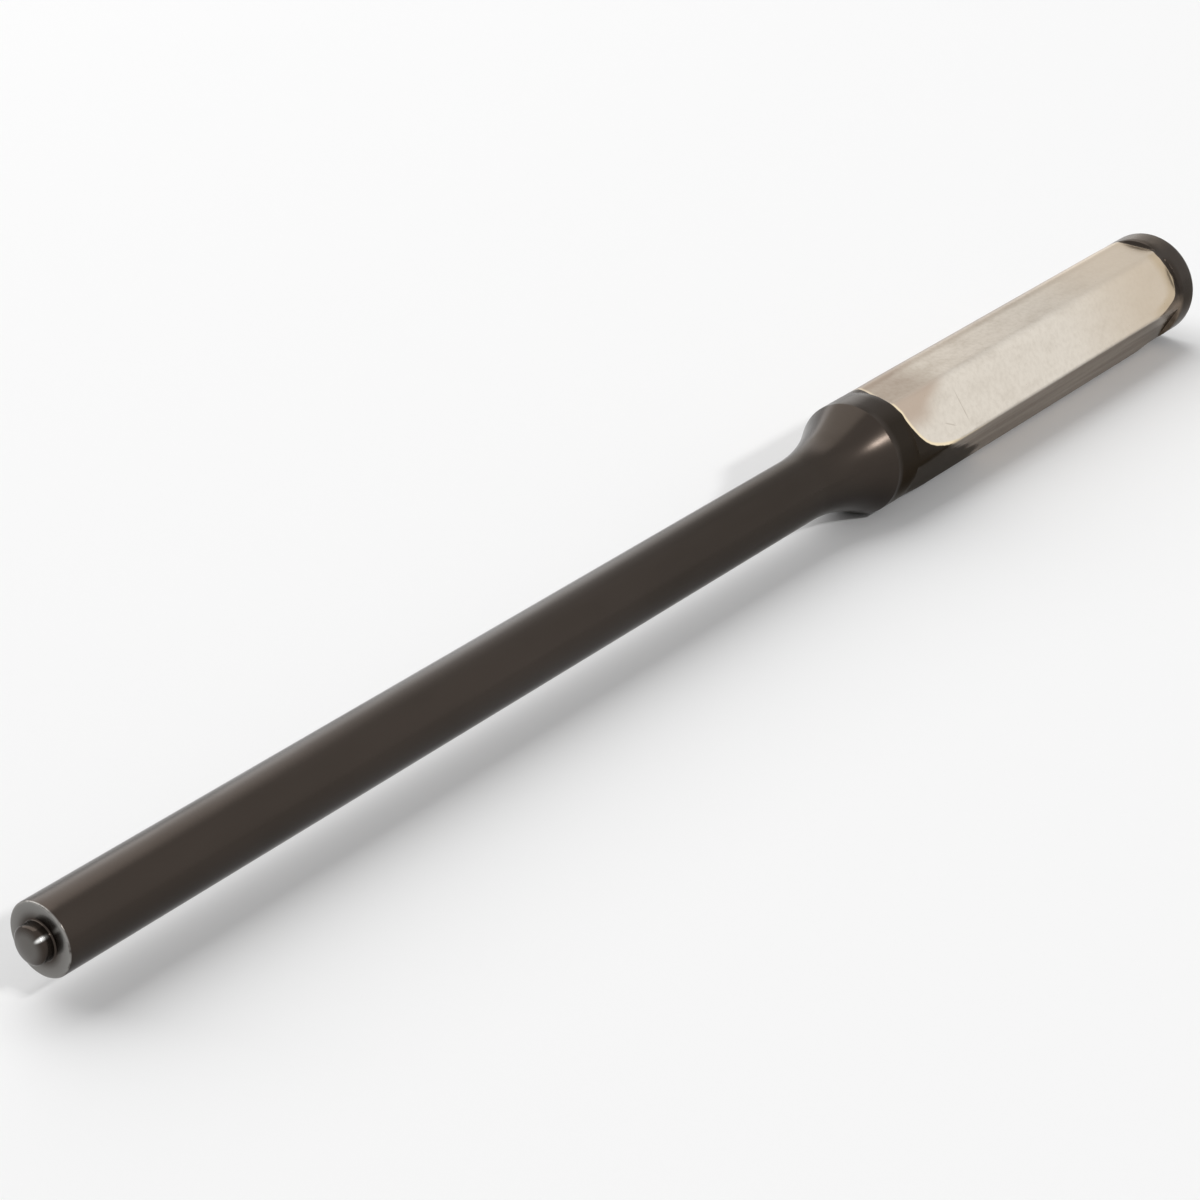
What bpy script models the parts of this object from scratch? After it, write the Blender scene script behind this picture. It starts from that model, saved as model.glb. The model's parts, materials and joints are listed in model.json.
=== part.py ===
"""Roll pin punch: one bar of tool steel with a nubbed tip, a long round shank, a flared neck
and a grip with six ground flats between two round collars. Metres, +Z up, axis along X,
tip towards -X, lying on its collars with one flat straight up."""

import math

import bmesh
import bpy

# Tip: the crowned nub that sits in the hollow of a rolled pin, and the flat shoulder behind it.
NUB_DIA = 0.0032
NUB_ROOT = 0.0009
NUB_CROWN = 0.0005
SHOULDER_BREAK = 0.0002

# Shank: slides through a quarter-inch hole behind the pin.
SHANK_DIA = 0.0062
SHANK_LENGTH = 0.0960

# Neck: a hollow fillet that opens into a short cone, up to the collar's rim.
FLARE_FILLET = 0.0180
FLARE_ANGLE = math.radians(26.0)

# Grip: six flats ground between two round collars. The arrises stand a little proud of the
# collars, so that the punch doesn't roll off a bench.
COLLAR_DIA = 0.0111
NECK_COLLAR_LENGTH = 0.0033
GRIP_LENGTH = 0.0508
ACROSS_FLATS = 0.0101
ACROSS_ARRISES = 0.0116
RAMP_ANGLE = math.radians(45.0)

# Head: the collar that takes the hammer, with its edge rounded.
HEAD_COLLAR_LENGTH = 0.0037
HEAD_ROUND = 0.0006

# Facets. An odd count on each flat puts a facet, not an edge, under the collars.
FLAT_COUNT = 6
FACETS_PER_FLAT = 5
FACETS_PER_ARRIS = 1
NUB_STEPS = 6
FLARE_STEPS = 8
HEAD_STEPS = 4

SHARP_ANGLE = math.radians(20.0)
STEEL_COLOR = (0.045, 0.036, 0.030, 1.0)
STEEL_ROUGHNESS = 0.38

NUB_RADIUS = NUB_DIA / 2
SHANK_RADIUS = SHANK_DIA / 2
COLLAR_RADIUS = COLLAR_DIA / 2
ARRIS_RADIUS = ACROSS_ARRISES / 2
FLAT_LEVEL = ACROSS_FLATS / 2
FLAT_HALF_ANGLE = math.acos(FLAT_LEVEL / ARRIS_RADIUS)
FLAT_PITCH = 2 * math.pi / FLAT_COUNT


def ring_angles():
    """Angles around the axis, from straight up, shared by every ring of the bar."""
    angles = []
    arris = FLAT_PITCH - 2 * FLAT_HALF_ANGLE
    for flat in range(FLAT_COUNT):
        start = flat * FLAT_PITCH - FLAT_HALF_ANGLE
        for step in range(FACETS_PER_FLAT):
            angles.append(start + 2 * FLAT_HALF_ANGLE * step / FACETS_PER_FLAT)
        for step in range(FACETS_PER_ARRIS):
            angles.append(start + 2 * FLAT_HALF_ANGLE + arris * step / FACETS_PER_ARRIS)
    return angles


def round_ring(radius):
    return lambda angle: radius


def flatted_ring(angle):
    """Radius of the grip: six flats, with the arrises broken to a narrow land."""
    off_centre = (angle + FLAT_PITCH / 2) % FLAT_PITCH - FLAT_PITCH / 2
    return min(ARRIS_RADIUS, FLAT_LEVEL / math.cos(off_centre))


def bar_stations():
    """Places along the axis from the nub's root at the shoulder, each with its section."""
    stations = []
    for step in range(1, NUB_STEPS + 1):
        turn = math.pi / 2 * step / NUB_STEPS
        place = -NUB_ROOT - NUB_CROWN * math.cos(turn)
        stations.append((place, round_ring(NUB_RADIUS * math.sin(turn))))
    stations.append((0.0, round_ring(NUB_RADIUS)))
    stations.append((0.0, round_ring(SHANK_RADIUS - SHOULDER_BREAK)))
    stations.append((SHOULDER_BREAK, round_ring(SHANK_RADIUS)))

    rise = COLLAR_RADIUS - SHANK_RADIUS
    sweep = min(FLARE_ANGLE, math.acos(max(-1.0, 1 - rise / FLARE_FILLET)))
    for step in range(FLARE_STEPS + 1):
        turn = sweep * step / FLARE_STEPS
        place = SHANK_LENGTH + FLARE_FILLET * math.sin(turn)
        radius = SHANK_RADIUS + FLARE_FILLET * (1 - math.cos(turn))
        stations.append((place, round_ring(radius)))
    fillet_rise = FLARE_FILLET * (1 - math.cos(sweep))
    cone_run = (rise - fillet_rise) / math.tan(sweep)
    rim = SHANK_LENGTH + FLARE_FILLET * math.sin(sweep) + cone_run
    stations.append((rim, round_ring(COLLAR_RADIUS)))

    grip = rim + NECK_COLLAR_LENGTH
    ramp_run = (COLLAR_RADIUS - FLAT_LEVEL) / math.tan(RAMP_ANGLE)
    grip_end = grip + GRIP_LENGTH
    head = grip_end + HEAD_COLLAR_LENGTH
    stations.append((grip, round_ring(COLLAR_RADIUS)))
    stations.append((grip + ramp_run, flatted_ring))
    stations.append((grip_end - ramp_run, flatted_ring))
    stations.append((grip_end, round_ring(COLLAR_RADIUS)))
    for step in range(HEAD_STEPS + 1):
        turn = math.pi / 2 * step / HEAD_STEPS
        place = head - HEAD_ROUND * (1 - math.sin(turn))
        stations.append((place, round_ring(COLLAR_RADIUS - HEAD_ROUND * (1 - math.cos(turn)))))
    return stations


def steel_material():
    material = bpy.data.materials.new("oxide_steel")
    material.use_nodes = True
    shader = material.node_tree.nodes["Principled BSDF"]
    shader.inputs["Base Color"].default_value = STEEL_COLOR
    shader.inputs["Metallic"].default_value = 1.0
    shader.inputs["Roughness"].default_value = STEEL_ROUGHNESS
    return material


def build_punch():
    angles = ring_angles()
    stations = bar_stations()
    nub_end = -NUB_ROOT - NUB_CROWN
    middle = (nub_end + stations[-1][0]) / 2
    axis_height = COLLAR_RADIUS * math.cos(FLAT_HALF_ANGLE / FACETS_PER_FLAT)

    shape = bmesh.new()
    apex = shape.verts.new((nub_end - middle, 0.0, axis_height))
    rings = []
    for place, section in stations:
        ring = []
        for angle in angles:
            radius = section(angle)
            across = -radius * math.sin(angle)
            height = axis_height + radius * math.cos(angle)
            ring.append(shape.verts.new((place - middle, across, height)))
        rings.append(ring)

    count = len(angles)
    for index in range(count):
        shape.faces.new((apex, rings[0][index], rings[0][(index + 1) % count]))
    for near, far in zip(rings, rings[1:]):
        for index in range(count):
            after = (index + 1) % count
            shape.faces.new((near[index], far[index], far[after], near[after]))
    shape.faces.new(rings[-1])
    bmesh.ops.recalc_face_normals(shape, faces=shape.faces)

    mesh = bpy.data.meshes.new("punch")
    shape.to_mesh(mesh)
    shape.free()
    mesh.materials.append(steel_material())
    mesh.shade_smooth()
    mesh.set_sharp_from_angle(angle=SHARP_ANGLE)
    punch = bpy.data.objects.new("punch", mesh)
    bpy.context.scene.collection.objects.link(punch)


def main():
    for thing in list(bpy.data.objects):
        bpy.data.objects.remove(thing)
    build_punch()


main()
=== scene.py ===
"""Roll pin punch: the finished look of one bar of tool steel, black oxide with ground flats.

Metres, +Z up, the punch's axis along X with its tip towards -X."""

import json
import math

import bmesh
import bpy
from bpy.props import FloatProperty, FloatVectorProperty, IntProperty, PointerProperty
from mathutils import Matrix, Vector

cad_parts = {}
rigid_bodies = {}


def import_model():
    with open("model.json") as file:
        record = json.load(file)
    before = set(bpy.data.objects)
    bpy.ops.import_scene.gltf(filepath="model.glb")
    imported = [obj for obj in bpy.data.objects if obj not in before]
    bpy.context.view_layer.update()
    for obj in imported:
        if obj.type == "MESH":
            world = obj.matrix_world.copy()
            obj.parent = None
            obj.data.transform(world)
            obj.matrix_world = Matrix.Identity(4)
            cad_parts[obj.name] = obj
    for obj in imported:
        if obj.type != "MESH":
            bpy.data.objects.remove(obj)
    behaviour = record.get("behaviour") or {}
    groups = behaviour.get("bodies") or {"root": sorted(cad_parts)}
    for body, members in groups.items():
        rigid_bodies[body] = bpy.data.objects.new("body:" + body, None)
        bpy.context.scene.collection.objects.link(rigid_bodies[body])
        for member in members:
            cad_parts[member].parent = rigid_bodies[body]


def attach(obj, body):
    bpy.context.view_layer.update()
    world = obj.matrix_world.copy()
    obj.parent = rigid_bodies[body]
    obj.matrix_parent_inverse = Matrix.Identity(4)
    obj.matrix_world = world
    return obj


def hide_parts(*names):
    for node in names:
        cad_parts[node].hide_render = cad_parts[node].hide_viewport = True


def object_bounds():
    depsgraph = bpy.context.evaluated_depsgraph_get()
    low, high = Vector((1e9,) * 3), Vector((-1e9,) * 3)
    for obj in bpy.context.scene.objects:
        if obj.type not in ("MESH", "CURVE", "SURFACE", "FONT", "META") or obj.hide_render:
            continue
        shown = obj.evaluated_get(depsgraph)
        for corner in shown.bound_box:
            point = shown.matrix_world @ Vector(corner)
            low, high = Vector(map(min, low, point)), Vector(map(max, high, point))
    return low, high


bl_info = {
    "name": "Roll Pin Punch",
    "version": (1, 0, 0),
    "blender": (4, 5, 0),
    "location": "View3D > Sidebar > Punch",
    "description": "Builds a roll pin punch with oxide and ground steel finishes, and its stage",
    "category": "Object",
}

for left_over in list(bpy.data.objects):
    bpy.data.objects.remove(left_over)

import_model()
CAD_LOW, CAD_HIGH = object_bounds()
CAD_SIZE = CAD_HIGH - CAD_LOW
AXIS_ACROSS = (CAD_LOW.y + CAD_HIGH.y) / 2
AXIS_HEIGHT = (CAD_LOW.z + CAD_HIGH.z) / 2
MM = 0.001


class PunchSizes(bpy.types.PropertyGroup):
    """Sizes of the bar, from the tip to the head."""

    nub_dia: FloatProperty(
        name="Nub diameter", description="Nub that sits in the hollow of a rolled pin",
        default=3.2 * MM, unit="LENGTH")
    nub_root: FloatProperty(
        name="Nub side", description="Straight side of the nub, from the shoulder to its crown",
        default=0.9 * MM, unit="LENGTH")
    nub_crown: FloatProperty(
        name="Nub crown", description="Height of the nub's rounded end",
        default=0.5 * MM, unit="LENGTH")
    nub_fillet: FloatProperty(
        name="Nub fillet", description="Hollow round where the nub meets the shoulder",
        default=0.15 * MM, unit="LENGTH")
    shank_dia: FloatProperty(
        name="Shank diameter", description="Long round shank behind the tip",
        default=6.2 * MM, unit="LENGTH")
    shoulder_round: FloatProperty(
        name="Shoulder round", description="Broken edge of the shank's flat end",
        default=0.2 * MM, unit="LENGTH")
    flare_fillet: FloatProperty(
        name="Flare fillet", description="Hollow radius where the shank opens into the neck's cone",
        default=18.0 * MM, unit="LENGTH")
    flare_angle: FloatProperty(
        name="Flare angle", description="Half angle of the neck's cone",
        default=math.radians(26.0), subtype="ANGLE")
    rim_round: FloatProperty(
        name="Rim round", description="Broken edge between the cone and the neck collar",
        default=0.35 * MM, unit="LENGTH")
    collar_dia: FloatProperty(
        name="Collar diameter", description="Round collars at both ends of the grip",
        default=CAD_SIZE.z, unit="LENGTH")
    neck_collar_length: FloatProperty(
        name="Neck collar", description="Round collar between the neck and the flats",
        default=3.3 * MM, unit="LENGTH")
    grip_length: FloatProperty(
        name="Grip length", description="Ground flats, with the ramps at their ends",
        default=51.3 * MM, unit="LENGTH")
    across_flats: FloatProperty(
        name="Across flats", description="Distance between two opposite flats",
        default=10.1 * MM, unit="LENGTH")
    flat_count: IntProperty(name="Flats", description="Flats around the grip", default=6)
    arris_round: FloatProperty(
        name="Arris round", description="Radius on the edges between the flats",
        default=0.40 * MM, unit="LENGTH")
    soft_arris_round: FloatProperty(
        name="Soft arris round", description="Radius on the two edges of the top flat, rubbed over",
        default=1.6 * MM, unit="LENGTH")
    neck_ramp: FloatProperty(
        name="Neck ramp", description="Run-out of each flat into the neck collar",
        default=0.40 * MM, unit="LENGTH")
    head_ramp: FloatProperty(
        name="Head ramp", description="Run-out of each flat into the head collar",
        default=0.20 * MM, unit="LENGTH")
    head_collar_length: FloatProperty(
        name="Head collar", description="Round collar that takes the hammer",
        default=3.2 * MM, unit="LENGTH")
    head_round: FloatProperty(
        name="Head round", description="Rounded edge of the struck face",
        default=0.6 * MM, unit="LENGTH")


class PunchFinish(bpy.types.PropertyGroup):
    """Colours and edges of the oxide and ground finishes, with painted shade and painted highlights."""

    oxide_color: FloatVectorProperty(
        name="Oxide", description="Brown-black oxide on the turned surfaces",
        default=(0.046, 0.037, 0.031), subtype="COLOR")
    # Heavy oxide, and painted shade: the sides of the cone and of both collars are darker than their
    # tops.
    oxide_dark_and_shade: FloatVectorProperty(
        name="Oxide, heavy", description="Where the oxide lies thickest",
        default=(0.026, 0.0215, 0.0175), subtype="COLOR")
    ground_color: FloatVectorProperty(
        name="Ground steel", description="Clean ground steel of the flats",
        default=(0.63, 0.58, 0.51), subtype="COLOR")
    # Browner, darker tone of the ground steel, in clouds and specks and over the top flat and the far
    # side
    brown_tone_color: FloatVectorProperty(
        name="Stain", description="Brown stain that is left on the ground steel",
        default=(0.36, 0.31, 0.25), subtype="COLOR")
    # Darkest brown, where the top flat is darkened most, at its neck
    brown_color: FloatVectorProperty(
        name="Brown stain", description="Where the stain is heaviest",
        default=(0.22, 0.165, 0.117), subtype="COLOR")
    # Dark film on the lower flats, and painted shade there: they face the shadowed floor. The scratches
    # take this colour too.
    film_shade_and_scratch_color: FloatVectorProperty(
        name="Film", description="Thin dark film on the lower flats",
        default=(0.172, 0.122, 0.078), subtype="COLOR")
    rub_color: FloatVectorProperty(
        name="Rubbed oxide", description="Oxide rubbed thin around the head",
        default=(0.185, 0.145, 0.11), subtype="COLOR")
    # Painted highlight: a thin bright line along the ground steel's edge at the neck.
    lip_highlight_color: FloatVectorProperty(
        name="Neck lip", description="Thin bright line where the oxide ends at the neck",
        default=(0.78, 0.66, 0.46), subtype="COLOR")
    straw_color: FloatVectorProperty(
        name="Straw", description="Straw colour of the ground steel towards the head",
        default=(0.49, 0.405, 0.305), subtype="COLOR")
    deep_straw_color: FloatVectorProperty(
        name="Deep straw", description="Straw colour of the near upper flat along the head collar",
        default=(0.43, 0.34, 0.225), subtype="COLOR")
    bare_color: FloatVectorProperty(
        name="Bare steel", description="Machined steel of the shank's end",
        default=(0.21, 0.205, 0.195), subtype="COLOR")
    # Worn bare steel on the edges; on the shank's end edge it is bright enough to be a painted
    # highlight too.
    worn_edge_and_highlight_color: FloatVectorProperty(
        name="Worn steel", description="Bare steel on worn edges",
        default=(0.50, 0.49, 0.47), subtype="COLOR")
    tan_color: FloatVectorProperty(
        name="Tan", description="Tan stain of the near upper flat beside the neck collar",
        default=(0.435, 0.35, 0.28), subtype="COLOR")
    # Painted highlight: a white line along the nub's side.
    nub_highlight_color: FloatVectorProperty(
        name="Nub highlight", description="Painted highlight along the nub",
        default=(0.90, 0.90, 0.88), subtype="COLOR")
    edge_tint: FloatVectorProperty(
        name="Edge tint", description="Tint of the heavy oxide's glancing reflections",
        default=(0.55, 0.52, 0.49), subtype="COLOR")
    oxide_roughness: FloatProperty(
        name="Oxide roughness", description="Satin of the oxide",
        default=0.25, subtype="FACTOR")
    ground_roughness: FloatProperty(
        name="Ground roughness", description="Satin of the ground flats",
        default=0.30, subtype="FACTOR")
    nub_roughness: FloatProperty(
        name="Nub roughness", description="Nub burnished by the pins",
        default=0.16, subtype="FACTOR")
    neck_corner: FloatProperty(
        name="Neck corner", description="Length of the dark corners of the flats at the neck",
        default=5.5 * MM, unit="LENGTH")
    neck_corner_width: FloatProperty(
        name="Neck corner width", description="How fast those corners narrow across a flat",
        default=0.5 * MM, unit="LENGTH")
    head_corner: FloatProperty(
        name="Head corner", description="Length of the dark corners of the flats at the head",
        default=4.6 * MM, unit="LENGTH")
    head_corner_width: FloatProperty(
        name="Head corner width", description="How fast those corners narrow across a flat",
        default=0.52 * MM, unit="LENGTH")
    under_slope: FloatProperty(
        name="Under slope", description="How fast the ground finish draws back round the underside",
        default=2.0)


class PunchStage(bpy.types.PropertyGroup):
    """Camera, floor and light around the punch."""

    camera_azimuth: FloatProperty(
        name="Camera azimuth", description="Heading of the view from the punch's axis",
        default=math.radians(37.297), subtype="ANGLE")
    camera_elevation: FloatProperty(
        name="Camera elevation", description="Height of the view above the floor",
        default=math.radians(26.753), subtype="ANGLE")
    camera_distance: FloatProperty(
        name="Camera distance", description="From the camera to the point it looks at",
        default=284.76 * MM, unit="LENGTH")
    camera_lens: FloatProperty(
        name="Focal length", description="On a 36 mm sensor", default=98.93, unit="CAMERA")
    look_along: FloatProperty(
        name="Look-at place", description="Point looked at, along the axis from the shoulder",
        default=67.448 * MM, unit="LENGTH")
    look_across: FloatProperty(
        name="Look-at offset", description="Point looked at, across the axis",
        default=0.881 * MM, unit="LENGTH")
    floor_color: FloatVectorProperty(
        name="Floor", description="Plain pale floor", default=(0.95, 0.95, 0.95), subtype="COLOR")
    surround: FloatProperty(
        name="Surround", description="Light that the white surround gives", default=0.27)
    top_box: FloatProperty(
        name="Top box", description="Brightness of the large box above and behind", default=1.7)
    back_box: FloatProperty(
        name="Back box", description="Brightness of the low box behind the head", default=0.75)
    side_box: FloatProperty(
        name="Side box", description="Brightness of the wide box at the right", default=0.15)
    key_box: FloatProperty(
        name="Key box", description="Brightness of the small key box", default=75.0)


def flat_pitch(sizes):
    return 2 * math.pi / sizes.flat_count


def off_flat_centre(angle, pitch):
    """Angle from the middle of the nearest flat, from -pitch/2 to pitch/2."""
    return (angle + pitch / 2) % pitch - pitch / 2


def arris_rounding(angle, sizes):
    """Radius of the arris nearest to an angle: those of the top flat are soft."""
    arris = math.floor(angle / flat_pitch(sizes)) % sizes.flat_count
    if arris in (0, sizes.flat_count - 1):
        return sizes.soft_arris_round
    return sizes.arris_round


def flat_half_angle(rounding, sizes):
    """Angle from the middle of a flat to where the arris starts to round over."""
    level = sizes.across_flats / 2
    return math.atan((level - rounding) * math.tan(flat_pitch(sizes) / 2) / level)


def flatted_radius(angle, sizes):
    """Radius of the grip: flats joined by rounded arrises."""
    half = flat_pitch(sizes) / 2
    level = sizes.across_flats / 2
    rounding = arris_rounding(angle, sizes)
    off = abs(off_flat_centre(angle, flat_pitch(sizes)))
    if off <= flat_half_angle(rounding, sizes):
        return level / math.cos(off)
    centre = (level - rounding) / math.cos(half)
    from_arris = half - off
    reach = rounding ** 2 - (centre * math.sin(from_arris)) ** 2
    return centre * math.cos(from_arris) + math.sqrt(max(0.0, reach))


FLAT_STEPS = 22
ARRIS_STEPS = 10


def ring_angles(sizes):
    """Angles around the axis from straight up, closer together on the arrises."""
    pitch = flat_pitch(sizes)
    angles = []
    for flat in range(sizes.flat_count):
        middle = flat * pitch
        before = flat_half_angle(arris_rounding(middle - pitch / 4, sizes), sizes)
        after = flat_half_angle(arris_rounding(middle + pitch / 4, sizes), sizes)
        arc = pitch - 2 * after
        for step in range(FLAT_STEPS):
            angles.append(middle - before + (before + after) * step / FLAT_STEPS)
        for step in range(ARRIS_STEPS):
            angles.append(middle + after + arc * step / ARRIS_STEPS)
    return angles


def rounded(corners):
    """Profile points with an arc at each corner of (place, radius, rounding, steps)."""
    points = []
    for index, (place, radius, rounding, steps) in enumerate(corners):
        corner = Vector((place, radius))
        if rounding == 0.0:
            points.append(corner)
            continue
        back = (Vector(corners[index - 1][:2]) - corner).normalized()
        ahead = (Vector(corners[index + 1][:2]) - corner).normalized()
        half_angle = back.angle(ahead) / 2
        tangent = rounding / math.tan(half_angle)
        centre = corner + (back + ahead).normalized() * (rounding / math.sin(half_angle))
        start = corner + back * tangent - centre
        end = corner + ahead * tangent - centre
        sweep = start.angle(end)
        for step in range(steps + 1):
            share = step / steps
            near = math.sin((1 - share) * sweep) / math.sin(sweep)
            far = math.sin(share * sweep) / math.sin(sweep)
            points.append(centre + start * near + end * far)
    return points


def subdivided(points, longest):
    """The same profile with no step longer than a limit."""
    finer = [points[0]]
    for near, far in zip(points, points[1:]):
        parts = max(1, math.ceil((far - near).length / longest))
        for part in range(1, parts + 1):
            finer.append(near.lerp(far, part / parts))
    return finer


class BarPlaces:
    """Places along the axis from the shoulder, worked back from the head's end."""

    def __init__(self, sizes):
        self.nub_end = -(sizes.nub_root + sizes.nub_crown)
        self.shoulder = CAD_LOW.x - self.nub_end
        self.head = CAD_SIZE.x + self.nub_end
        self.grip_end = self.head - sizes.head_collar_length
        self.grip_start = self.grip_end - sizes.grip_length
        self.grip_middle = (self.grip_start + self.grip_end) / 2
        self.rim = self.grip_start - sizes.neck_collar_length
        rise = (sizes.collar_dia - sizes.shank_dia) / 2
        self.cone_root = self.rim - rise / math.tan(sizes.flare_angle)


NUB_STEPS = 14
CORNER_STEPS = 8
FLARE_STEPS = 28
RAMP_STEPS = 8
CORNER_ZONE_STEPS = 20
CORNER_ZONE_STEP = 0.3 * MM
LONGEST_STEP = 0.9 * MM


def bar_profile(sizes, places):
    """Points of (place, radius) from the nub's crown to the middle of the head."""
    nub = sizes.nub_dia / 2
    shank = sizes.shank_dia / 2
    collar = sizes.collar_dia / 2
    points = []
    for step in range(1, NUB_STEPS + 1):
        turn = math.pi / 2 * step / NUB_STEPS
        place = -sizes.nub_root - sizes.nub_crown * math.cos(turn)
        points.append(Vector((place, nub * math.sin(turn))))
    corners = [
        (-sizes.nub_root, nub, 0.0, 0),
        (0.0, nub, sizes.nub_fillet, CORNER_STEPS),
        (0.0, shank, sizes.shoulder_round, CORNER_STEPS),
        (places.cone_root, shank, sizes.flare_fillet, FLARE_STEPS),
        (places.rim, collar, sizes.rim_round, CORNER_STEPS),
    ]
    for edge, direction, ramp in (
        (places.grip_start, 1, sizes.neck_ramp),
        (places.grip_end, -1, sizes.head_ramp),
    ):
        insets = [ramp * step / RAMP_STEPS for step in range(RAMP_STEPS + 1)]
        insets += [ramp + CORNER_ZONE_STEP * (step + 1) for step in range(CORNER_ZONE_STEPS)]
        for inset in insets[::direction]:
            corners.append((edge + direction * inset, collar, 0.0, 0))
    corners += [
        (places.head, collar, sizes.head_round, CORNER_STEPS),
        (places.head, 0.0, 0.0, 0),
    ]
    points += rounded(corners)[1:]
    return subdivided(points, LONGEST_STEP)[:-1]


def ease(value):
    """A share from 0 to 1 that starts and ends softly."""
    value = min(1.0, max(0.0, value))
    return value * value * (3 - 2 * value)


def passage(value, none_at, full_at):
    """0 at one value, 1 at another, and a soft passage between them."""
    return ease((value - none_at) / (full_at - none_at))


def grip_radius(place, angle, radius, sizes, finish, places):
    """Radius on the grip: steep ramps down to the flats, long turned corners up to proud arrises."""
    from_neck = place - places.grip_start
    from_head = places.grip_end - place
    if min(from_neck, from_head) <= 0.0:
        return radius
    flatted = flatted_radius(angle, sizes)
    if flatted < radius:
        share = min(ease(from_neck / sizes.neck_ramp), ease(from_head / sizes.head_ramp))
    else:
        share = min(ease(from_neck / finish.neck_corner), ease(from_head / finish.head_corner))
    return radius + (flatted - radius) * share


def round_from_top(angle):
    """Angle from straight up, from -pi to pi, positive on the camera's side."""
    return (angle + math.pi) % (2 * math.pi) - math.pi


def turn_from_top(angle):
    """The same angle in degrees."""
    return math.degrees(round_from_top(angle))


# In flats, from the middle of the top one
SIDE_ARRIS = 1.5


def below_side(angle, sizes):
    """Distance round the grip below its side arrises, negative above them."""
    side = SIDE_ARRIS * flat_pitch(sizes)
    return (abs(round_from_top(angle)) - side) * sizes.across_flats / 2


# Here and below, a pair of numbers says where a mark is none and where it is full. Pairs of whole
# numbers are degrees from the top of the bar, positive on the camera's side.
NECK_INSET = 0.1 * MM
NECK_SWEEP = 2.4 * MM
NECK_SWEEP_REACH = 5.0 * MM
NECK_SWEEP_BOW = 1.3
FAR_SWEEP = 1.2 * MM
FAR_SWEEP_IN = (20, -25)
FAR_SWEEP_OUT = (-150, -90)
HEAD_INSET = 0.24 * MM
UPPER_CORNER_INSET = 0.5 * MM
UPPER_CORNER_IN = (15, 30)
UPPER_CORNER_OUT = (50, 35)
HEAD_BOW = 0.14 * MM
HEAD_BOW_IN = (46, 62)
UNDER_REACH = 4.0 * MM
UNDER_SOFTNESS = 0.05
UNDER_HEAD_WIDTH = 1.5 * MM
UNDER_HEAD_SOFTNESS = 0.08


def far_draw_back(angle):
    """How far the ground finish draws back from the neck on the far side of the top flat."""
    turn = turn_from_top(angle)
    return FAR_SWEEP * passage(turn, *FAR_SWEEP_IN) * passage(turn, *FAR_SWEEP_OUT)


def head_inset(angle):
    """Gap from the head collar to the ground finish: it bows out across the near upper flat."""
    turn = turn_from_top(angle)
    upper_corner = passage(turn, *UPPER_CORNER_IN) * passage(turn, *UPPER_CORNER_OUT)
    bow = passage(turn, *HEAD_BOW_IN)
    return HEAD_INSET + UPPER_CORNER_INSET * upper_corner - HEAD_BOW * bow


def neck_depth(from_neck, below, finish):
    """Distance inside the ground finish at the neck: a long sweep and a tight corner at each side."""
    if below > 0.0:
        cut = finish.neck_corner + finish.under_slope * min(below, UNDER_REACH)
        return (from_neck - cut) * UNDER_SOFTNESS
    sweep = NECK_SWEEP * max(0.0, 1 + below / NECK_SWEEP_REACH) ** NECK_SWEEP_BOW
    corner = (finish.neck_corner - NECK_SWEEP) * math.exp(below / finish.neck_corner_width)
    slope = sweep / NECK_SWEEP_REACH + corner / finish.neck_corner_width
    return (from_neck - sweep - corner) / math.hypot(1.0, slope)


def head_depth(from_head, below, finish):
    """Distance inside the ground finish at the head, with a tight corner at each side."""
    if below > 0.0:
        corner = finish.head_corner * math.exp(-below / UNDER_HEAD_WIDTH)
        return (from_head - corner) * UNDER_HEAD_SOFTNESS
    corner = finish.head_corner * math.exp(below / finish.head_corner_width)
    return (from_head - corner) / math.hypot(1.0, corner / finish.head_corner_width)


def ground_depth(place, angle, sizes, finish, places):
    """Distance inside the ground finish, which draws back along the side arrises."""
    below = below_side(angle, sizes)
    from_neck = place - places.grip_start - NECK_INSET - far_draw_back(angle)
    from_head = places.grip_end - head_inset(angle) - place
    return min(neck_depth(from_neck, below, finish), head_depth(from_head, below, finish))


# Darker, browner ground steel on the top flat and the far side
TOP_DARKENING = 0.65
TOP_DARKENING_EDGE = (28, 20)
NECK_DARKENING = 0.95
NECK_DARKENING_START = 4.0 * MM
NECK_DARKENING_FADE = 7.0 * MM
FAR_DARKENING = 0.8
FAR_DARKENING_EDGE = (-12, -25)


def flat_darkening(place, angle, places):
    """Darker, browner ground steel: on the top flat, more at its neck and towards its far edge, and on
    the flats beyond that edge.
    """
    turn = turn_from_top(angle)
    on_top = passage(turn, *TOP_DARKENING_EDGE)
    at_neck = 1 - ease((place - places.grip_start - NECK_DARKENING_START) / NECK_DARKENING_FADE)
    at_far = passage(turn, *FAR_DARKENING_EDGE)
    return on_top * (TOP_DARKENING + NECK_DARKENING * at_neck) + FAR_DARKENING * at_far


NECK_TAN = 0.95
NECK_TAN_IN = (19, 27)
NECK_TAN_OUT = (70, 40)
NECK_TAN_START = 2.6 * MM
NECK_TAN_LEAN = 4.0 * MM
NECK_TAN_LEAN_EDGE = (45, 20)
NECK_TAN_FADE = 4.0 * MM


def neck_tan(place, angle, places):
    """Tan stain on the near upper flat beside the neck collar, longest along its upper edge."""
    turn = turn_from_top(angle)
    across = passage(turn, *NECK_TAN_IN) * passage(turn, *NECK_TAN_OUT)
    start = NECK_TAN_START + NECK_TAN_LEAN * passage(turn, *NECK_TAN_LEAN_EDGE)
    along = 1 - ease((place - places.grip_start - start) / NECK_TAN_FADE)
    return NECK_TAN * across * along


# Edge of the lower flats' dark film and painted shade at the side arrises
UNDER_FADE = 0.3 * MM


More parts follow.
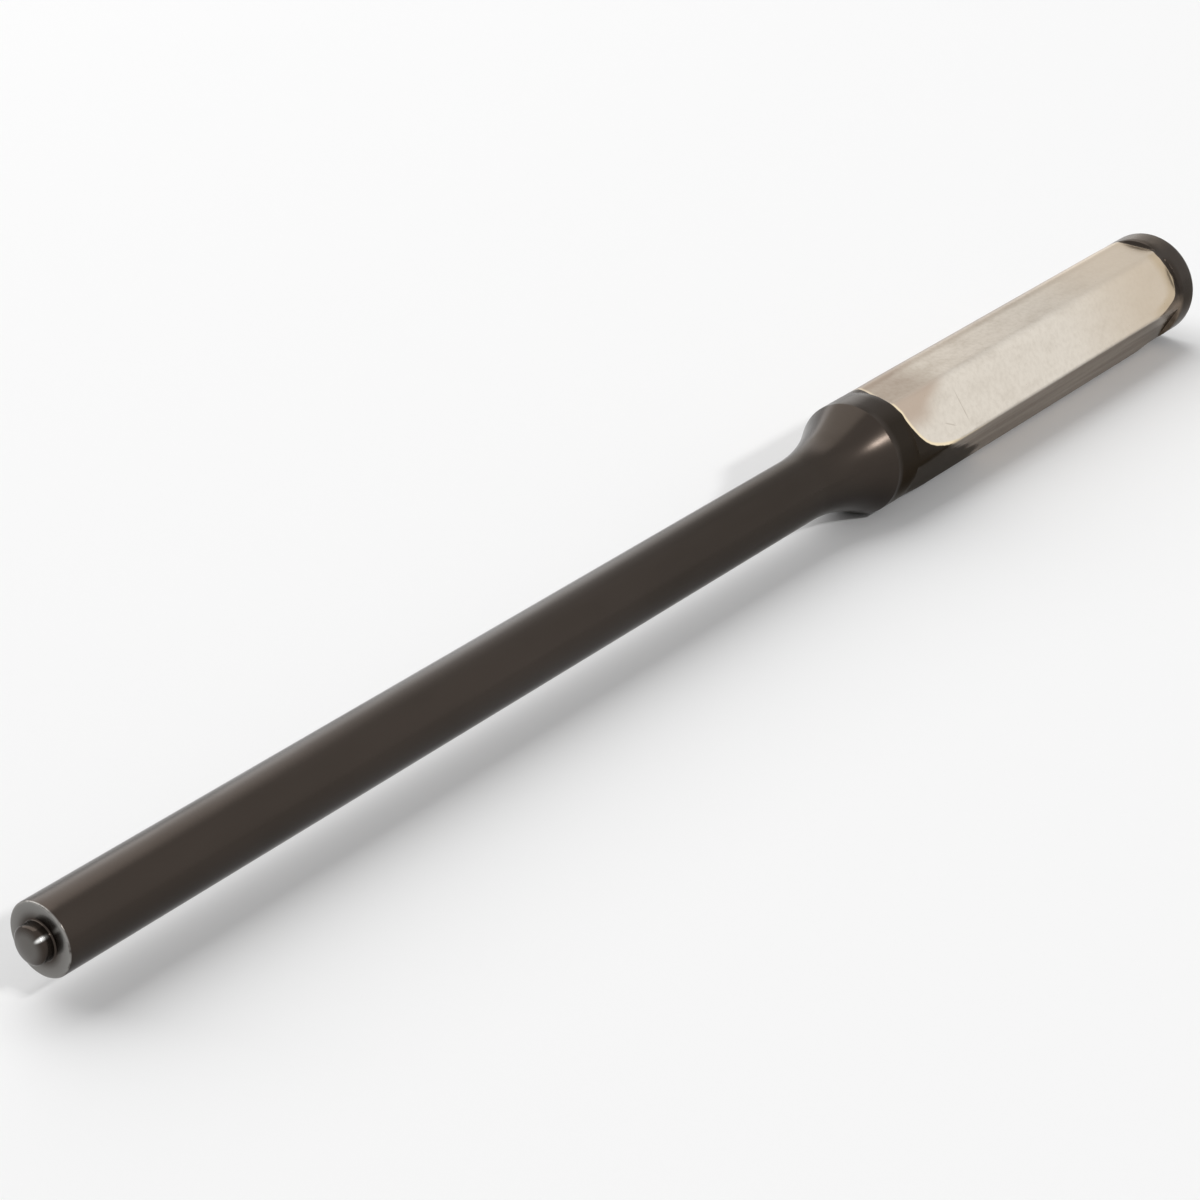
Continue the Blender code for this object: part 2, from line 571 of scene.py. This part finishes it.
def under_film_and_shade(angle, sizes):
    """0 on the upper flats, 1 on the lower ones, which take a dark film and painted shade."""
    return ease(below_side(angle, sizes) / UNDER_FADE)


# Worn shank's end edge, also a painted highlight there
SHOULDER_WEAR_AND_HIGHLIGHT = 0.16 * MM
HEAD_WEAR = 0.18 * MM


def bar_edges(sizes, places):
    """Places of the worn edges, each with how far its wear reaches."""
    shank = sizes.shank_dia / 2
    collar = sizes.collar_dia / 2
    return (
        (Vector((0.0, shank)), SHOULDER_WEAR_AND_HIGHLIGHT),
        (Vector((places.head, collar)), HEAD_WEAR),
    )


def edge_wear_and_highlight(point, edges):
    """1 on a worn edge, falling to 0 where its wear ends. At the shank's end the bright wear is also a
    painted highlight.
    """
    wear = 0.0
    for edge, reach in edges:
        wear = max(wear, 1 - (point - edge).length / reach)
    return wear


# Places of the heavy oxide on the shank, and of the oxide and painted shade on the cone, are shares of
# the length up to the rim.
SHANK_OXIDE = 0.42
SHANK_OXIDE_IN = (1 / 2, 5 / 6)
SHANK_OXIDE_OUT = (0.97, 0.92)
# Away from the top, the cone and the collars' sides take painted shade as well as oxide.
CONE_OXIDE_AND_SHADE = 0.5
CONE_OXIDE_IN = (0.94, 0.965)
CONE_TOP = (26, 16)
TOP_OXIDE = 0.35
NECK_SIDE = (15, 50)
HEAD_OXIDE = 0.3
HEAD_SIDE_OXIDE_AND_SHADE = 0.6
HEAD_SIDE = (55, 90)
OXIDE_FADE = 0.3 * MM


def oxide_and_side_shade(place, angle, places):
    """Thicker oxide towards the neck and less on the head, with painted shade that darkens the cone and
    the sides of both collars away from their tops, most on the neck collar's sides.
    """
    turn = abs(turn_from_top(angle))
    share = place / places.rim
    level = SHANK_OXIDE * passage(share, *SHANK_OXIDE_IN) * passage(share, *SHANK_OXIDE_OUT)
    level += CONE_OXIDE_AND_SHADE * passage(share, *CONE_OXIDE_IN) * passage(turn, *CONE_TOP)
    on_neck = ease((place - places.rim) / OXIDE_FADE)
    neck_level = TOP_OXIDE + (1 - TOP_OXIDE) * passage(turn, *NECK_SIDE)
    level += (neck_level - level) * on_neck
    on_head = ease((place - places.grip_middle) / OXIDE_FADE)
    head_level = HEAD_OXIDE + (HEAD_SIDE_OXIDE_AND_SHADE - HEAD_OXIDE) * passage(turn, *HEAD_SIDE)
    return level + (head_level - level) * on_head


# The edge of the head's face is at shares of the collar's diameter.
HEAD_RUB = 0.4
HEAD_RUB_NEAR = (35, 0)
HEAD_RUB_FAR = (-110, -60)
HEAD_FACE_EDGE = (0.40, 0.45)
UNDER_RUB = 0.85
UNDER_RUB_EDGE = (78, 92)


def head_rub(place, angle, radius, sizes, places):
    """Oxide rubbed thin on the top of the head collar and on the lower flats' corners beside it."""
    turn = turn_from_top(angle)
    on_collar = ease((place - places.grip_end) / OXIDE_FADE)
    on_side = passage(radius / sizes.collar_dia, *HEAD_FACE_EDGE)
    on_top = passage(turn, *HEAD_RUB_NEAR) * passage(turn, *HEAD_RUB_FAR)
    on_corner = (1 - on_collar) * ease((place - places.grip_middle) / OXIDE_FADE)
    under = passage(abs(turn), *UNDER_RUB_EDGE)
    return HEAD_RUB * on_collar * on_side * on_top + UNDER_RUB * on_corner * under


# The edge of the crown's bare steel is at shares of the nub's radius.
END_FADE = 0.9 * MM
FACE_DEPTH = 0.03 * MM
CROWN_BARE = 0.5
CROWN_BARE_EDGE = (1.0, 0.5)


def bare_steel(place, radius, sizes):
    """Machined steel on the shoulder's face and rubbed steel on the nub's crown."""
    nub = sizes.nub_dia / 2
    if place < -sizes.nub_root:
        return CROWN_BARE * passage(radius / nub, *CROWN_BARE_EDGE)
    if place < FACE_DEPTH:
        return ease((radius - nub - sizes.nub_fillet) / END_FADE)
    return 0.0


# Place and size of the painted highlight along the nub
NUB_HIGHLIGHT_TURN = 50.0
NUB_HIGHLIGHT_WIDTH = 9.0
NUB_HIGHLIGHT_ON_CROWN = 0.8


def nub_highlight(place, angle, sizes):
    """A painted highlight: a bright line along one side of the nub."""
    off = (turn_from_top(angle) - NUB_HIGHLIGHT_TURN) / NUB_HIGHLIGHT_WIDTH
    end = -sizes.nub_root - NUB_HIGHLIGHT_ON_CROWN * sizes.nub_crown
    from_root = ease(-place / sizes.nub_fillet - 1)
    from_crown = ease((place - end) / sizes.nub_fillet)
    return from_root * from_crown * ease(1 - abs(off))


MARKS = (
    "ground_depth", "edge_wear_and_highlight", "oxide_and_side_shade", "bare_steel", "nub_highlight", "flat_darkening",
    "under_film_and_shade", "head_rub", "neck_tan",
)


def surface_marks(place, radius, angle, edges, sizes, finish, places):
    """What the finish needs to know at a point of the bar, in the order of MARKS."""
    return (
        ground_depth(place, angle, sizes, finish, places) / MM,
        edge_wear_and_highlight(Vector((place, radius)), edges),
        oxide_and_side_shade(place, angle, places),
        bare_steel(place, radius, sizes),
        nub_highlight(place, angle, sizes),
        flat_darkening(place, angle, places),
        under_film_and_shade(angle, sizes),
        head_rub(place, angle, radius, sizes, places),
        neck_tan(place, angle, places),
    )


def bar_mesh(sizes, finish):
    """Rings lofted from the nub to the head, with the marks for the finish as attributes."""
    places = BarPlaces(sizes)
    profile = bar_profile(sizes, places)
    angles = ring_angles(sizes)
    edges = bar_edges(sizes, places)
    shape = bmesh.new()
    layers = [shape.verts.layers.float.new(name) for name in MARKS]

    def point(place, radius, angle):
        across = AXIS_ACROSS - radius * math.sin(angle)
        height = AXIS_HEIGHT + radius * math.cos(angle)
        vert = shape.verts.new((places.shoulder + place, across, height))
        marks = surface_marks(place, radius, angle, edges, sizes, finish, places)
        for layer, mark in zip(layers, marks):
            vert[layer] = mark
        return vert

    tip = point(places.nub_end, 0.0, 0.0)
    rings = []
    for place, radius in profile:
        ring = []
        for angle in angles:
            reach = grip_radius(place, angle, radius, sizes, finish, places)
            ring.append(point(place, reach, angle))
        rings.append(ring)
    struck = point(places.head, 0.0, 0.0)

    count = len(angles)
    for index in range(count):
        after = (index + 1) % count
        shape.faces.new((tip, rings[0][index], rings[0][after]))
        for near, far in zip(rings, rings[1:]):
            shape.faces.new((near[index], far[index], far[after], near[after]))
        shape.faces.new((rings[-1][index], struck, rings[-1][after]))
    bmesh.ops.recalc_face_normals(shape, faces=shape.faces)
    mesh = bpy.data.meshes.new("punch_bar")
    shape.to_mesh(mesh)
    shape.free()
    mesh.shade_smooth()
    return mesh


SCRATCH_FADE = 0.3


class Nodes:
    """Short calls that add and link the nodes of one material."""

    def __init__(self, tree):
        self.tree = tree

    def add(self, kind, **settings):
        made = self.tree.nodes.new(kind)
        for name, value in settings.items():
            setattr(made, name, value)
        return made

    def feed(self, socket, value):
        """A socket takes a link from another socket, or a plain value."""
        if isinstance(value, bpy.types.NodeSocket):
            self.tree.links.new(value, socket)
        else:
            socket.default_value = value

    def math(self, operation, first, second=0.0, third=0.0):
        made = self.add("ShaderNodeMath", operation=operation)
        for socket, value in zip(made.inputs, (first, second, third)):
            self.feed(socket, value)
        return made.outputs[0]

    def product(self, *factors):
        result = factors[0]
        for factor in factors[1:]:
            result = self.math("MULTIPLY", result, factor)
        return result

    def rest(self, share):
        """What a share leaves of 1."""
        return self.math("SUBTRACT", 1.0, share)

    def ramp(self, value, low, high, to_low=0.0, to_high=1.0):
        made = self.add("ShaderNodeMapRange", interpolation_type="SMOOTHSTEP")
        for name, part in (
            ("Value", value), ("From Min", low), ("From Max", high),
            ("To Min", to_low), ("To Max", to_high),
        ):
            self.feed(made.inputs[name], part)
        return made.outputs["Result"]

    def mix(self, share, first, second):
        made = self.add("ShaderNodeMix", data_type="RGBA")
        self.feed(made.inputs[0], share)
        self.feed(made.inputs[6], first)
        self.feed(made.inputs[7], second)
        return made.outputs[2]

    def blend(self, share, first, second):
        made = self.add("ShaderNodeMix", data_type="FLOAT")
        self.feed(made.inputs[0], share)
        self.feed(made.inputs[2], first)
        self.feed(made.inputs[3], second)
        return made.outputs[0]

    def attribute(self, name):
        return self.add("ShaderNodeAttribute", attribute_name=name).outputs["Fac"]

    def noise(self, coords, stretch, detail=3.0, roughness=0.5):
        """Noise of 0 to 1, with features as many to a millimetre along X, Y and Z as stretch says."""
        mapping = self.add("ShaderNodeMapping")
        self.feed(mapping.inputs["Vector"], coords)
        mapping.inputs["Scale"].default_value = [part / MM for part in stretch]
        made = self.add("ShaderNodeTexNoise")
        made.inputs["Scale"].default_value = 1.0
        made.inputs["Detail"].default_value = detail
        made.inputs["Roughness"].default_value = roughness
        self.feed(made.inputs["Vector"], mapping.outputs["Vector"])
        return made.outputs["Fac"]

    def vector_math(self, operation, first, second):
        made = self.add("ShaderNodeVectorMath", operation=operation)
        self.feed(made.inputs[0], first)
        self.feed(made.inputs[1], second)
        return made.outputs

    def scratch(self, coords, start, end, width):
        """1 on a fine straight line between two points, fading out at its ends."""
        run = end - start
        heading = run.normalized()
        offset = self.vector_math("SUBTRACT", coords, start)["Vector"]
        cross = self.vector_math("CROSS_PRODUCT", offset, heading)["Vector"]
        across = self.vector_math("LENGTH", cross, heading)["Value"]
        along = self.vector_math("DOT_PRODUCT", offset, heading)["Value"]
        fade = SCRATCH_FADE * run.length
        return self.product(
            self.ramp(across, width, 0.0),
            self.ramp(along, 0.0, fade),
            self.ramp(along, run.length, run.length - fade),
        )


def rgba(color):
    return (*color, 1.0)


WHITE = rgba((1.0, 1.0, 1.0))

# Ends of the scratches on the near upper flat: place from the grip's start, degrees from the top
SCRATCHES = (
    ((9.0 * MM, 38.0), (9.5 * MM, 84.0)),
    ((5.6 * MM, 68.0), (7.4 * MM, 78.0)),
)
SCRATCH_WIDTH = 0.10 * MM
SCRATCH_DEPTH = 0.35


def scratch_lines(sizes, places):
    """Ends of the scratches as points on the flat."""
    lines = []
    for ends in SCRATCHES:
        points = []
        for place, turn in ends:
            angle = math.radians(turn)
            off = off_flat_centre(angle, flat_pitch(sizes))
            radius = sizes.across_flats / 2 / math.cos(off)
            points.append(Vector((
                places.shoulder + places.grip_start + place,
                AXIS_ACROSS - radius * math.sin(angle),
                AXIS_HEIGHT + radius * math.cos(angle),
            )))
        lines.append(points)
    return lines


# Noise: features to a millimetre along X, Y and Z
STREAK_NOISE = (0.05, 1.2, 1.2)
NIBBLE_NOISE = (2.2, 2.2, 2.2)
CLOUD_NOISE = (0.25, 0.5, 0.5)
SPECKLE_NOISE = (2.0, 2.0, 2.0)
BLOTCH_NOISE = (0.08, 0.3, 0.3)
WEAR_NOISE = (1.5, 1.5, 1.5)
RING_NOISE = (7.0, 0.15, 0.15)
GRAIN_NOISE = (0.5, 9.0, 9.0)


class SteelMarks:
    """Places, marks and textures that the finishes of the bar share."""

    def __init__(self, nodes):
        self.coords = nodes.add("ShaderNodeTexCoord").outputs["Object"]
        place = nodes.add("ShaderNodeSeparateXYZ")
        nodes.feed(place.inputs[0], self.coords)
        self.along = place.outputs["X"]
        self.depth = nodes.attribute("ground_depth")
        self.under = nodes.attribute("under_film_and_shade")
        self.above = nodes.rest(self.under)
        self.streaks = nodes.noise(self.coords, STREAK_NOISE)
        self.speckle = nodes.noise(self.coords, SPECKLE_NOISE, detail=4.0, roughness=0.6)
        self.blotch = nodes.noise(self.coords, BLOTCH_NOISE, detail=5.0)


# Ranges of ramps: the ends, and the values there where they aren't 0 and 1. Depths inside the ground
# finish are in millimetres.
NIBBLE_SHARE = 0.5
NIBBLE_LEVEL = 0.25
RAGGED_DEPTH = 0.16
GROUND_EDGE = (0.04, 0.14)


def ground_share(nodes, marks):
    """1 on the ground finish and 0 on the oxide, with a slightly ragged edge between them."""
    nibbles = nodes.noise(marks.coords, NIBBLE_NOISE)
    nibbles = nodes.math("MULTIPLY_ADD", nibbles, NIBBLE_SHARE, NIBBLE_LEVEL)
    ragged = nodes.blend(marks.under, nibbles, marks.streaks)
    edge = nodes.math("MULTIPLY_ADD", ragged, RAGGED_DEPTH, marks.depth)
    return nodes.ramp(edge, *GROUND_EDGE)


STAIN_SPREAD = 0.2
CLOUD_RANGE = (0.45, 0.75)
SPECKLE_RANGE = (0.35, 0.75)
# Streaks of the dark film and painted shade on the lower flats
FILM_SHADE_RANGE = (0.3, 0.7, 1.0, 0.72)
# Painted highlight along the ground steel's edge at the neck
LIP_HIGHLIGHT_DEPTHS = (0.45, 0.15)
LIP_HIGHLIGHT_ON_DARKENING = (0.2, 1.4, 1.0, 0.4)
STRAW_LEVELS = (0.0, 0.75)
STRAW_START = 24.0 * MM
STRAW_FULL = 4.0 * MM
DEEP_STRAW_DEPTHS = (2.2, 0.6, 0.0, 0.75)
DEEP_STRAW_START = 7.0 * MM
DEEP_STRAW_FULL = 3.0 * MM
DEEP_STRAW_ON_DARKENING = (0.5, 0.1, 0.4, 1.0)


def ground_steel(nodes, marks, sizes, finish):
    """Cloudy tone, darker on the top flat, a dark film and painted shade underneath, scratches, straw
    at the head, tan and a painted highlight along the edge at the neck.
    """
    places = BarPlaces(sizes)
    grip_middle = places.shoulder + places.grip_middle
    grip_end = places.shoulder + places.grip_end
    cloud = nodes.noise(marks.coords, CLOUD_NOISE, detail=4.0)
    # Darker, browner tone: clouds and specks over the top flat's darkening
    flat_darkening_share = nodes.attribute("flat_darkening")
    darkened_share = flat_darkening_share
    for texture, limits in ((cloud, CLOUD_RANGE), (marks.speckle, SPECKLE_RANGE)):
        darkened_share = nodes.math("MULTIPLY_ADD", nodes.ramp(texture, *limits), STAIN_SPREAD, darkened_share)
    steel = nodes.mix(darkened_share, rgba(finish.ground_color), rgba(finish.brown_tone_color))
    steel = nodes.mix(nodes.math("SUBTRACT", darkened_share, 1.0), steel, rgba(finish.brown_color))
    # Painted shade and a dark film on the lower flats, in streaks
    film = nodes.product(marks.under, nodes.ramp(marks.streaks, *FILM_SHADE_RANGE))
    steel = nodes.mix(film, steel, rgba(finish.film_shade_and_scratch_color))
    for start, end in scratch_lines(sizes, places):
        scored = nodes.scratch(marks.coords, start, end, SCRATCH_WIDTH)
        scored = nodes.product(scored, SCRATCH_DEPTH)
        steel = nodes.mix(scored, steel, rgba(finish.film_shade_and_scratch_color))
    straw = nodes.product(
        nodes.ramp(marks.along, grip_end - STRAW_START, grip_end - STRAW_FULL, *STRAW_LEVELS),
        marks.above,
    )
    deep_straw = nodes.product(
        nodes.ramp(marks.depth, *DEEP_STRAW_DEPTHS),
        marks.above,
        nodes.ramp(marks.along, grip_end - DEEP_STRAW_START, grip_end - DEEP_STRAW_FULL),
        nodes.ramp(flat_darkening_share, *DEEP_STRAW_ON_DARKENING),
    )
    # Painted highlight along the edge at the neck, on the upper flats
    lip = nodes.product(
        nodes.ramp(marks.depth, *LIP_HIGHLIGHT_DEPTHS),
        marks.above,
        nodes.rest(nodes.math("GREATER_THAN", marks.along, grip_middle)),
        nodes.ramp(flat_darkening_share, *LIP_HIGHLIGHT_ON_DARKENING),
    )
    steel = nodes.mix(straw, steel, rgba(finish.straw_color))
    steel = nodes.mix(deep_straw, steel, rgba(finish.deep_straw_color))
    steel = nodes.mix(nodes.attribute("neck_tan"), steel, rgba(finish.tan_color))
    return nodes.mix(lip, steel, rgba(finish.lip_highlight_color))


BLOTCH_OXIDE = 0.2
BLOTCH_RANGE = (0.35, 0.8)
WEAR_RANGE = (0.2, 0.5)
RUB_RANGE = (0.2, 0.6, 0.6, 1.2)


def oxide_and_shade_share(nodes, marks):
    """How thick the oxide lies, in blotches, with the painted shade on the sides of the cone and the
    collars.
    """
    blotches = nodes.ramp(marks.blotch, *BLOTCH_RANGE)
    return nodes.math("MULTIPLY_ADD", blotches, BLOTCH_OXIDE, nodes.attribute("oxide_and_side_shade"))


def oxide_steel(nodes, marks, heavy, finish):
    """Oxide, rubbed thin around the head and darkened by painted shade on the sides of the cone and the
    collars, with bare steel on the shank's end and the worn edges, and a painted highlight along the
    nub.
    """
    wear_break = nodes.noise(marks.coords, WEAR_NOISE, detail=4.0)
    rub = nodes.product(nodes.attribute("head_rub"), nodes.ramp(wear_break, *RUB_RANGE))
    wear = nodes.product(nodes.attribute("edge_wear_and_highlight"), nodes.ramp(wear_break, *WEAR_RANGE))
    # Dark oxide, and painted shade on the sides of the cone and the collars
    oxide = nodes.mix(heavy, rgba(finish.oxide_color), rgba(finish.oxide_dark_and_shade))
    for share, color in (
        (rub, finish.rub_color),
        (nodes.attribute("bare_steel"), finish.bare_color),
        # Worn edges, also a painted highlight on the shank's end edge
        (wear, finish.worn_edge_and_highlight_color),
        # Painted highlight along the nub's side
        (nodes.attribute("nub_highlight"), finish.nub_highlight_color),
    ):
        oxide = nodes.mix(share, oxide, rgba(color))
    return oxide


BLOTCH_ROUGHNESS = 0.10
SPECKLE_ROUGHNESS = 0.12
ROOT_MARGIN = 0.01 * MM


def uneven(nodes, texture, spread, level):
    """A level that a texture moves up and down by half a spread."""
    return nodes.math("MULTIPLY_ADD", texture, spread, level - spread / 2)


def steel_roughness(nodes, marks, ground, sizes, finish):
    """Satin oxide and ground steel, a little uneven, and a burnished nub."""
    oxide = uneven(nodes, marks.blotch, BLOTCH_ROUGHNESS, finish.oxide_roughness)
    on_nub = nodes.math("LESS_THAN", marks.along, BarPlaces(sizes).shoulder - ROOT_MARGIN)
    oxide = nodes.blend(on_nub, oxide, finish.nub_roughness)
    flats = uneven(nodes, marks.speckle, SPECKLE_ROUGHNESS, finish.ground_roughness)
    return nodes.blend(ground, oxide, flats)


BUMP_STRENGTH = 0.25
BUMP_HEIGHT = 0.01 * MM


def tool_marks(nodes, marks, ground):
    """Turning rings on the oxide and grinding grain along the flats."""
    rings = nodes.noise(marks.coords, RING_NOISE, detail=2.0)
    grain = nodes.noise(marks.coords, GRAIN_NOISE, detail=3.0)
    bump = nodes.add("ShaderNodeBump")
    bump.inputs["Strength"].default_value = BUMP_STRENGTH
    bump.inputs["Distance"].default_value = BUMP_HEIGHT
    nodes.feed(bump.inputs["Height"], nodes.blend(ground, rings, grain))
    return bump.outputs["Normal"]


def punch_steel(sizes, finish):
    """Oxide on the turned surfaces and ground steel on the flats, with stain, grain and wear, and
    painted shade and highlights.
    """
    material = bpy.data.materials.new("punch_steel")
    material.use_nodes = True
    nodes = Nodes(material.node_tree)
    shader = material.node_tree.nodes["Principled BSDF"]
    shader.inputs["Metallic"].default_value = 1.0
    marks = SteelMarks(nodes)
    ground = ground_share(nodes, marks)
    heavy = oxide_and_shade_share(nodes, marks)
    steel = ground_steel(nodes, marks, sizes, finish)
    oxide = oxide_steel(nodes, marks, heavy, finish)
    tint = nodes.mix(heavy, WHITE, rgba(finish.edge_tint))
    nodes.feed(shader.inputs["Base Color"], nodes.mix(ground, oxide, steel))
    nodes.feed(shader.inputs["Specular Tint"], nodes.mix(ground, tint, WHITE))
    nodes.feed(shader.inputs["Roughness"], steel_roughness(nodes, marks, ground, sizes, finish))
    nodes.feed(shader.inputs["Normal"], tool_marks(nodes, marks, ground))
    return material


class PUNCH_OT_bar(bpy.types.Operator):
    """Build the punch's bar, from its nub to its head"""

    bl_idname = "punch.bar"
    bl_label = "Punch Bar"

    def execute(self, context):
        sizes = context.scene.punch_sizes
        finish = context.scene.punch_finish
        mesh = bar_mesh(sizes, finish)
        mesh.materials.append(punch_steel(sizes, finish))
        bar = bpy.data.objects.new("punch_bar", mesh)
        context.scene.collection.objects.link(bar)
        weighted = bar.modifiers.new("even_shading", "WEIGHTED_NORMAL")
        weighted.weight = 100
        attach(bar, "root")
        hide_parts("punch")
        return {"FINISHED"}


def aim(thing, place, target):
    thing.location = place
    thing.rotation_mode = "QUATERNION"
    thing.rotation_quaternion = (target - place).to_track_quat("-Z", "Y")


LAMP_DISTANCE = 1.2

# Soft boxes: name, heading from the punch and sides
SOFT_BOXES = (
    ("top_box", (0.05, 0.62, 0.78), (1.7, 1.7)),
    ("back_box", (0.71, 0.64, 0.27), (0.5, 0.5)),
    ("side_box", (0.71, -0.50, 0.48), (1.3, 1.3)),
    ("key_box", (-0.04, -0.76, 0.64), (0.24, 0.07)),
)


def add_box_lamp(context, name, heading, sides, brightness, target):
    """A soft box of even brightness, seen from the punch along a heading."""
    lamp = bpy.data.lights.new(name, "AREA")
    lamp.shape = "RECTANGLE"
    lamp.size, lamp.size_y = sides
    lamp.energy = brightness * math.pi * lamp.size * lamp.size_y
    thing = bpy.data.objects.new(name, lamp)
    context.scene.collection.objects.link(thing)
    aim(thing, target + Vector(heading).normalized() * LAMP_DISTANCE, target)


def seen_rays(nodes):
    """1 for what the camera sees, straight or in the metal, and 0 for what only gives light."""
    path = nodes.add("ShaderNodeLightPath").outputs
    seen = nodes.math("MAXIMUM", path["Is Camera Ray"], path["Is Glossy Ray"])
    return nodes.math("MAXIMUM", seen, path["Is Transmission Ray"])


FLOOR_HALF = 4.0
FLOOR_CORNERS = ((-1, -1), (1, -1), (1, 1), (-1, 1))
FLOOR_ROUGHNESS = 0.9
FLOOR_FADE_START = 0.3
FLOOR_FADE_END = 0.8


def fade_to_surround(material):
    """Let the floor far from the punch pass into the white surround, without more light from it."""
    nodes = Nodes(material.node_tree)
    shader = material.node_tree.nodes["Principled BSDF"]
    output = material.node_tree.nodes["Material Output"]
    coords = nodes.add("ShaderNodeTexCoord").outputs["Object"]
    distance = nodes.vector_math("LENGTH", coords, coords)["Value"]
    far = nodes.ramp(distance, FLOOR_FADE_START, FLOOR_FADE_END)
    white = nodes.add("ShaderNodeEmission")
    passing = nodes.add("ShaderNodeMixShader")
    nodes.feed(passing.inputs[0], nodes.product(far, seen_rays(nodes)))
    nodes.feed(passing.inputs[1], shader.outputs["BSDF"])
    nodes.feed(passing.inputs[2], white.outputs["Emission"])
    nodes.feed(output.inputs["Surface"], passing.outputs["Shader"])
    material.cycles.emission_sampling = "NONE"


def add_floor(context, color):
    shape = bmesh.new()
    corners = [shape.verts.new((FLOOR_HALF * x, FLOOR_HALF * y, 0.0)) for x, y in FLOOR_CORNERS]
    shape.faces.new(corners)
    mesh = bpy.data.meshes.new("floor")
    shape.to_mesh(mesh)
    shape.free()
    material = bpy.data.materials.new("pale_floor")
    material.use_nodes = True
    shader = material.node_tree.nodes["Principled BSDF"]
    shader.inputs["Base Color"].default_value = rgba(color)
    shader.inputs["Roughness"].default_value = FLOOR_ROUGHNESS
    shader.inputs["Specular IOR Level"].default_value = 0.0
    fade_to_surround(material)
    mesh.materials.append(material)
    floor = bpy.data.objects.new("floor", mesh)
    floor.location.z = CAD_LOW.z
    context.scene.collection.objects.link(floor)


def add_surround(context, strength):
    """A white surround: strength 1 where it is seen, straight or in the metal, and less as light."""
    world = bpy.data.worlds.new("surround")
    world.use_nodes = True
    context.scene.world = world
    nodes = Nodes(world.node_tree)
    background = world.node_tree.nodes["Background"]
    background.inputs["Color"].default_value = WHITE
    nodes.feed(background.inputs["Strength"], nodes.blend(seen_rays(nodes), strength, 1.0))


SENSOR_WIDTH = 36.0
CLIP_START = 0.01
CLIP_END = 50.0


def add_camera(context, stage, target):
    camera = bpy.data.cameras.new("camera")
    camera.sensor_width = SENSOR_WIDTH
    camera.lens = stage.camera_lens
    camera.clip_start = CLIP_START
    camera.clip_end = CLIP_END
    thing = bpy.data.objects.new("camera", camera)
    context.scene.collection.objects.link(thing)
    level = math.cos(stage.camera_elevation)
    ahead = Vector((
        level * math.cos(stage.camera_azimuth),
        level * math.sin(stage.camera_azimuth),
        -math.sin(stage.camera_elevation),
    ))
    aim(thing, target - ahead * stage.camera_distance, target)
    context.scene.camera = thing


class PUNCH_OT_stage(bpy.types.Operator):
    """Lay the floor, set the surround and the soft boxes, and place the camera"""

    bl_idname = "punch.stage"
    bl_label = "Punch Stage"

    def execute(self, context):
        stage = context.scene.punch_stage
        places = BarPlaces(context.scene.punch_sizes)
        middle = (CAD_LOW + CAD_HIGH) / 2
        target = Vector((
            places.shoulder + stage.look_along,
            middle.y + stage.look_across,
            middle.z,
        ))
        context.scene.view_settings.view_transform = "Standard"
        add_floor(context, stage.floor_color)
        add_surround(context, stage.surround)
        add_camera(context, stage, target)
        for name, heading, sides in SOFT_BOXES:
            add_box_lamp(context, name, heading, sides, getattr(stage, name), middle)
        return {"FINISHED"}


class PUNCH_PT_sidebar(bpy.types.Panel):
    """Sizes, finishes and stage of the punch"""

    bl_idname = "PUNCH_PT_sidebar"
    bl_label = "Roll Pin Punch"
    bl_space_type = "VIEW_3D"
    bl_region_type = "UI"
    bl_category = "Punch"

    def draw(self, context):
        scene = context.scene
        for settings, operator in (
            (scene.punch_sizes, None),
            (scene.punch_finish, PUNCH_OT_bar.bl_idname),
            (scene.punch_stage, PUNCH_OT_stage.bl_idname),
        ):
            box = self.layout.box()
            for name in settings.__annotations__:
                box.prop(settings, name)
            if operator:
                box.operator(operator)


CLASSES = (PunchSizes, PunchFinish, PunchStage, PUNCH_OT_bar, PUNCH_OT_stage, PUNCH_PT_sidebar)


def register():
    for made in CLASSES:
        bpy.utils.register_class(made)
    bpy.types.Scene.punch_sizes = PointerProperty(type=PunchSizes)
    bpy.types.Scene.punch_finish = PointerProperty(type=PunchFinish)
    bpy.types.Scene.punch_stage = PointerProperty(type=PunchStage)


def unregister():
    del bpy.types.Scene.punch_stage
    del bpy.types.Scene.punch_finish
    del bpy.types.Scene.punch_sizes
    for made in reversed(CLASSES):
        bpy.utils.unregister_class(made)


def main():
    register()
    bpy.ops.punch.bar()
    bpy.ops.punch.stage()


if __name__ == "__main__":
    main()
